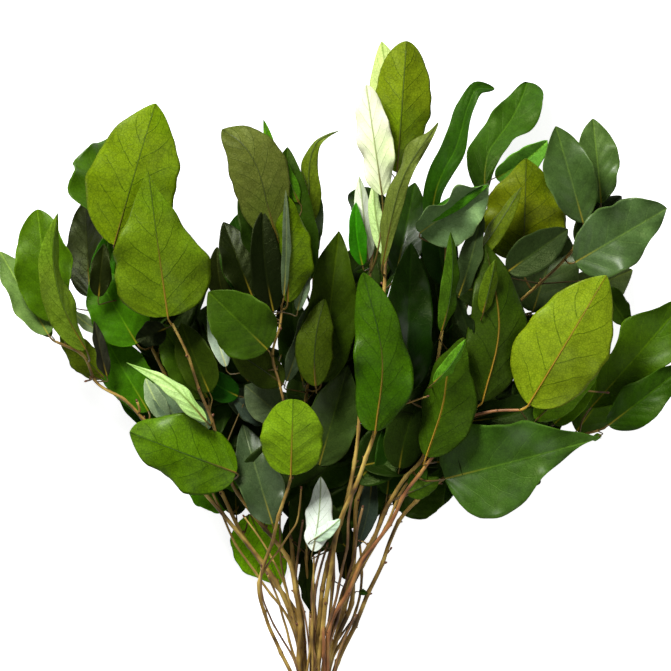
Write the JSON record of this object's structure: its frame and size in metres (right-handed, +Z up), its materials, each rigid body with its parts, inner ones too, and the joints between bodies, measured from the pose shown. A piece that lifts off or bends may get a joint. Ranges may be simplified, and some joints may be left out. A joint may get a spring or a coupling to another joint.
{
  "type": "salal bunch",
  "caption": "Bunch of cut salal stems with leathery leaves, held by a rubber band and laid flat as florist's greenery.",
  "frame": {"origin": "middle of the footprint, on the surface that the bunch lies on", "axes": "+Y from the cut ends to the leaf tips, +X across the spread of the leaves, +Z up from the table"},
  "size_m": [0.5208, 0.589, 0.1503],
  "materials": {
    "leaf": "leathery leaf, glossy dark green above, matt yellow-green with veins below",
    "stem": "thin olive-brown bark, some of it reddish, pale cut ends",
    "band": "matt tan rubber"
  },
  "bodies": {
    "root": {"leaf_a1": "leaf", "leaf_a2": "leaf", "leaf_a3": "leaf", "leaf_a4": "leaf", "leaf_b1": "leaf", "leaf_b2": "leaf", "leaf_b3": "leaf", "leaf_b4": "leaf", "leaf_b5": "leaf", "leaf_b6": "leaf", "leaf_c1": "leaf", "leaf_c2": "leaf", "leaf_c3": "leaf", "leaf_c4": "leaf", "leaf_c5": "leaf", "leaf_d1": "leaf", "leaf_d2": "leaf", "leaf_d3": "leaf", "leaf_d4": "leaf", "leaf_d5": "leaf", "leaf_d6": "leaf", "leaf_e1": "leaf", "leaf_e2": "leaf", "leaf_e3": "leaf", "leaf_f1": "leaf", "leaf_f2": "leaf", "leaf_g1": "leaf", "leaf_g2": "leaf", "leaf_g3": "leaf", "leaf_h1": "leaf", "leaf_h2": "leaf", "leaf_h3": "leaf", "leaf_h4": "leaf", "leaf_i1": "leaf", "leaf_i2": "leaf", "leaf_i3": "leaf", "leaf_j1": "leaf", "leaf_j2": "leaf", "leaf_j3": "leaf", "leaf_j4": "leaf", "leaf_k1": "leaf", "leaf_k2": "leaf", "leaf_k3": "leaf", "leaf_k4": "leaf", "leaf_k5": "leaf", "leaf_k6": "leaf", "leaf_l1": "leaf", "rubber_band": "band", "stem_a": "stem", "stem_b": "stem", "stem_c": "stem", "stem_d": "stem", "stem_e": "stem", "stem_f": "stem", "stem_g": "stem", "stem_h": "stem", "stem_i": "stem", "stem_j": "stem", "stem_k": "stem", "stem_l": "stem"}
  },
  "joints": []
}
